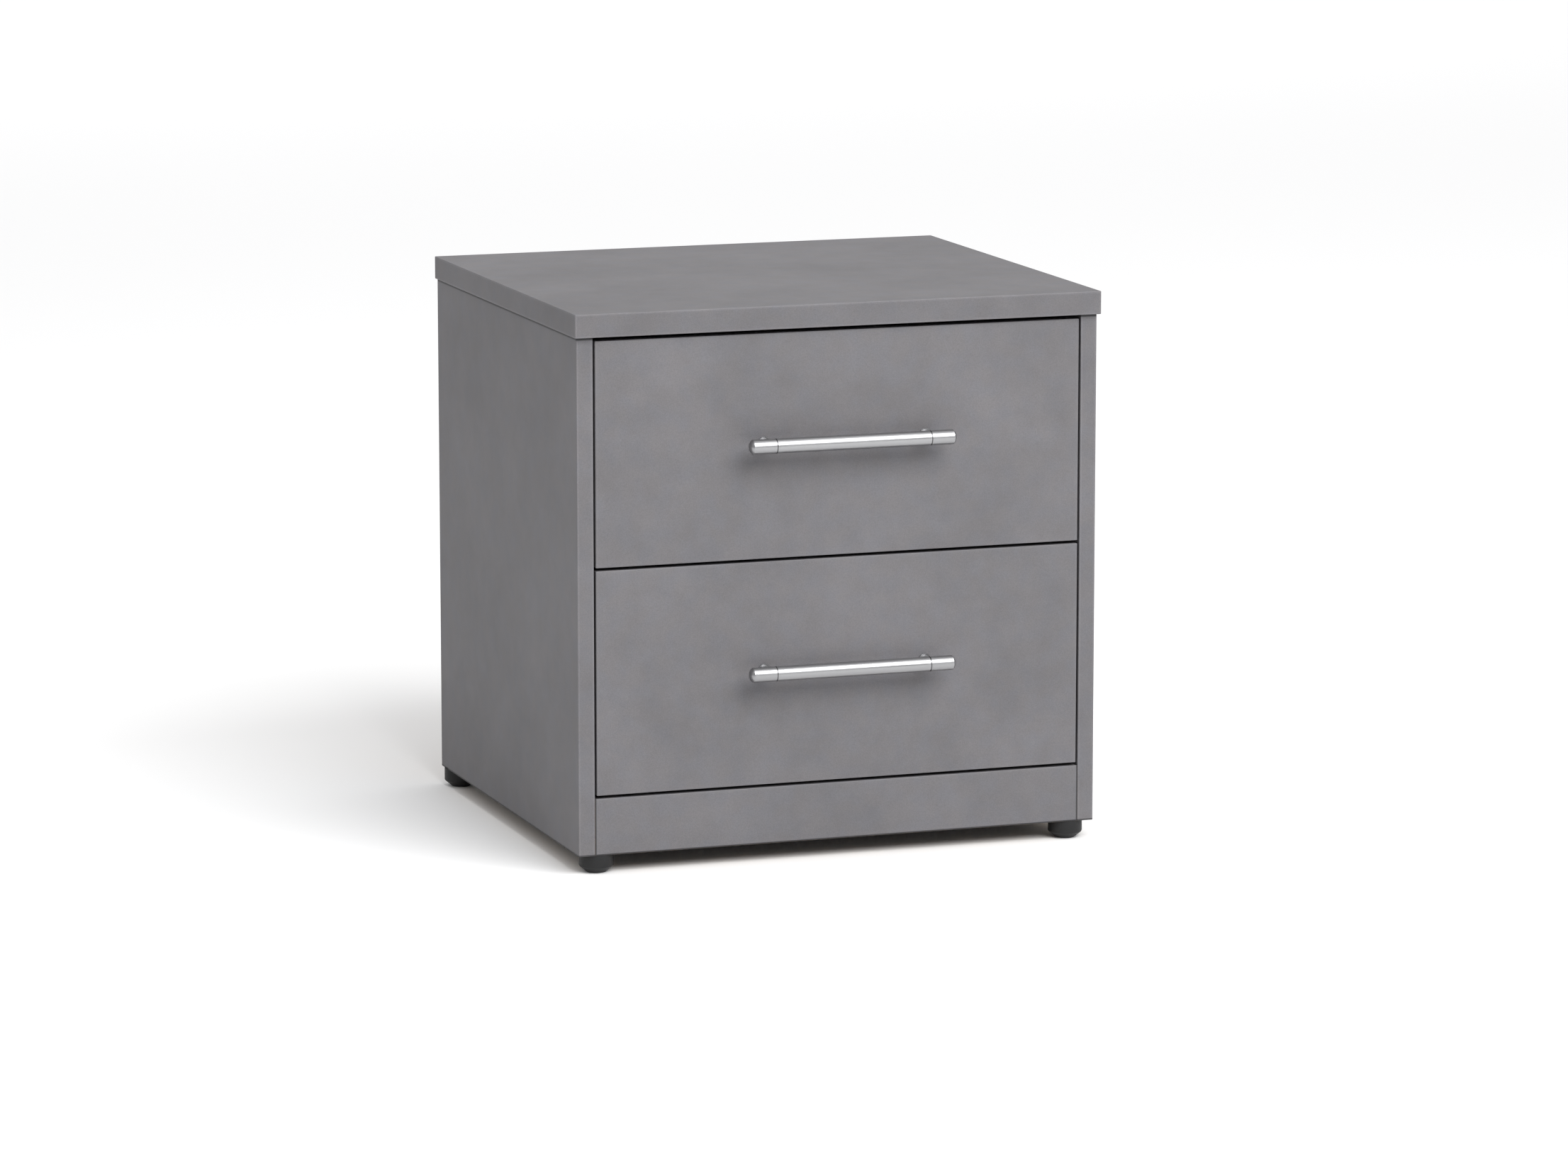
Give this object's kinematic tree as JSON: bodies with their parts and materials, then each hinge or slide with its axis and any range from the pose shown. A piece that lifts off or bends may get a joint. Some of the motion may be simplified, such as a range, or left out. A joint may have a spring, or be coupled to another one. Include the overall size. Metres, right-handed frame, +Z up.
{
  "type": "nightstand",
  "caption": "Box-shaped bedside cabinet on round feet, with a thick top and inset drawer fronts on roller runners, each pulled by a horizontal bar handle.",
  "frame": {"origin": "on the floor, under the middle of the whole object's box, handles included", "axes": "+Z up, the drawer fronts face -Y and the drawers open towards -Y, +X to the right seen from the front"},
  "size_m": [0.52, 0.485, 0.528],
  "materials": {
    "melamine_board": "graphite melamine with a fine mottled print, satin",
    "drawer_board": "plain light grey foil, satin",
    "hardboard": "grey lacquered face",
    "black_plastic": "moulded, fine texture",
    "handle_aluminium": "satin anodised",
    "handle_casting": "satin plated die casting",
    "runner_steel": "light grey epoxy powder coat",
    "zinc_steel": "bright zinc plated",
    "nylon": "natural white nylon",
    "beech_dowel": "raw beech"
  },
  "bodies": {
    "carcass": {"back_panel": "hardboard", "back_panel_nails": "zinc_steel", "bottom_panel": "melamine_board", "cabinet_roller_axles": "zinc_steel", "carcass_cam_bolts": "zinc_steel", "carcass_cam_housings": "zinc_steel", "carcass_dowels": "beech_dowel", "carcass_screws": "zinc_steel", "front_left_foot": "black_plastic", "front_right_foot": "black_plastic", "left_side_panel": "melamine_board", "lower_left_cabinet_runner": "runner_steel", "lower_right_cabinet_runner": "runner_steel", "plinth_rail": "melamine_board", "rear_bottom_rail": "melamine_board", "rear_left_foot": "black_plastic", "rear_right_foot": "black_plastic", "rear_top_rail": "melamine_board", "right_side_panel": "melamine_board", "top_panel": "melamine_board", "upper_left_cabinet_runner": "runner_steel", "upper_right_cabinet_runner": "runner_steel"},
    "upper_drawer": {"upper_drawer_back": "drawer_board", "upper_drawer_bottom": "hardboard", "upper_drawer_cam_fittings": "zinc_steel", "upper_drawer_dowels": "beech_dowel", "upper_drawer_front": "melamine_board", "upper_drawer_left_side": "drawer_board", "upper_drawer_right_side": "drawer_board", "upper_drawer_roller_axles": "zinc_steel", "upper_drawer_runner_screws": "zinc_steel", "upper_handle_bar": "handle_aluminium", "upper_handle_left_end": "handle_casting", "upper_handle_right_end": "handle_casting", "upper_handle_screws": "zinc_steel", "upper_left_drawer_runner": "runner_steel", "upper_right_drawer_runner": "runner_steel"},
    "lower_drawer": {"lower_drawer_back": "drawer_board", "lower_drawer_bottom": "hardboard", "lower_drawer_cam_fittings": "zinc_steel", "lower_drawer_dowels": "beech_dowel", "lower_drawer_front": "melamine_board", "lower_drawer_left_side": "drawer_board", "lower_drawer_right_side": "drawer_board", "lower_drawer_roller_axles": "zinc_steel", "lower_drawer_runner_screws": "zinc_steel", "lower_handle_bar": "handle_aluminium", "lower_handle_left_end": "handle_casting", "lower_handle_right_end": "handle_casting", "lower_handle_screws": "zinc_steel", "lower_left_drawer_runner": "runner_steel", "lower_right_drawer_runner": "runner_steel"},
    "lower_left_cabinet_roller": {"lower_left_cabinet_roller": "nylon"},
    "lower_left_drawer_roller": {"lower_left_drawer_roller": "nylon"},
    "lower_right_cabinet_roller": {"lower_right_cabinet_roller": "nylon"},
    "lower_right_drawer_roller": {"lower_right_drawer_roller": "nylon"},
    "upper_left_cabinet_roller": {"upper_left_cabinet_roller": "nylon"},
    "upper_left_drawer_roller": {"upper_left_drawer_roller": "nylon"},
    "upper_right_cabinet_roller": {"upper_right_cabinet_roller": "nylon"},
    "upper_right_drawer_roller": {"upper_right_drawer_roller": "nylon"}
  },
  "joints": [
    {"name": "upper_drawer_slide", "type": "slide", "parent": "carcass", "child": "upper_drawer", "axis": [0, -1, 0], "range_m": [0, 0.3]},
    {"name": "lower_drawer_slide", "type": "slide", "parent": "carcass", "child": "lower_drawer", "axis": [0, -1, 0], "range_m": [0, 0.3]},
    {"name": "upper_left_cabinet_roller_spin", "type": "hinge", "parent": "carcass", "child": "upper_left_cabinet_roller", "pos_m": [-0.23575, -0.1815, 0.3147], "axis": [1, 0, 0], "continuous": true},
    {"name": "upper_left_drawer_roller_spin", "type": "hinge", "parent": "upper_drawer", "child": "upper_left_drawer_roller", "pos_m": [-0.23575, 0.1915, 0.3126], "axis": [1, 0, 0], "continuous": true},
    {"name": "upper_right_cabinet_roller_spin", "type": "hinge", "parent": "carcass", "child": "upper_right_cabinet_roller", "pos_m": [0.23575, -0.1815, 0.3147], "axis": [1, 0, 0], "continuous": true},
    {"name": "upper_right_drawer_roller_spin", "type": "hinge", "parent": "upper_drawer", "child": "upper_right_drawer_roller", "pos_m": [0.23575, 0.1915, 0.3126], "axis": [1, 0, 0], "continuous": true},
    {"name": "lower_left_cabinet_roller_spin", "type": "hinge", "parent": "carcass", "child": "lower_left_cabinet_roller", "pos_m": [-0.23575, -0.1815, 0.0997], "axis": [1, 0, 0], "continuous": true},
    {"name": "lower_left_drawer_roller_spin", "type": "hinge", "parent": "lower_drawer", "child": "lower_left_drawer_roller", "pos_m": [-0.23575, 0.1915, 0.0976], "axis": [1, 0, 0], "continuous": true},
    {"name": "lower_right_cabinet_roller_spin", "type": "hinge", "parent": "carcass", "child": "lower_right_cabinet_roller", "pos_m": [0.23575, -0.1815, 0.0997], "axis": [1, 0, 0], "continuous": true},
    {"name": "lower_right_drawer_roller_spin", "type": "hinge", "parent": "lower_drawer", "child": "lower_right_drawer_roller", "pos_m": [0.23575, 0.1915, 0.0976], "axis": [1, 0, 0], "continuous": true}
  ],
  "couplings": [
    {"joint": "upper_left_cabinet_roller_spin", "follows": "upper_drawer_slide", "rad_per_m": 111.11},
    {"joint": "upper_left_drawer_roller_spin", "follows": "upper_drawer_slide", "rad_per_m": 111.11},
    {"joint": "upper_right_cabinet_roller_spin", "follows": "upper_drawer_slide", "rad_per_m": 111.11},
    {"joint": "upper_right_drawer_roller_spin", "follows": "upper_drawer_slide", "rad_per_m": 111.11},
    {"joint": "lower_left_cabinet_roller_spin", "follows": "lower_drawer_slide", "rad_per_m": 111.11},
    {"joint": "lower_left_drawer_roller_spin", "follows": "lower_drawer_slide", "rad_per_m": 111.11},
    {"joint": "lower_right_cabinet_roller_spin", "follows": "lower_drawer_slide", "rad_per_m": 111.11},
    {"joint": "lower_right_drawer_roller_spin", "follows": "lower_drawer_slide", "rad_per_m": 111.11}
  ]
}
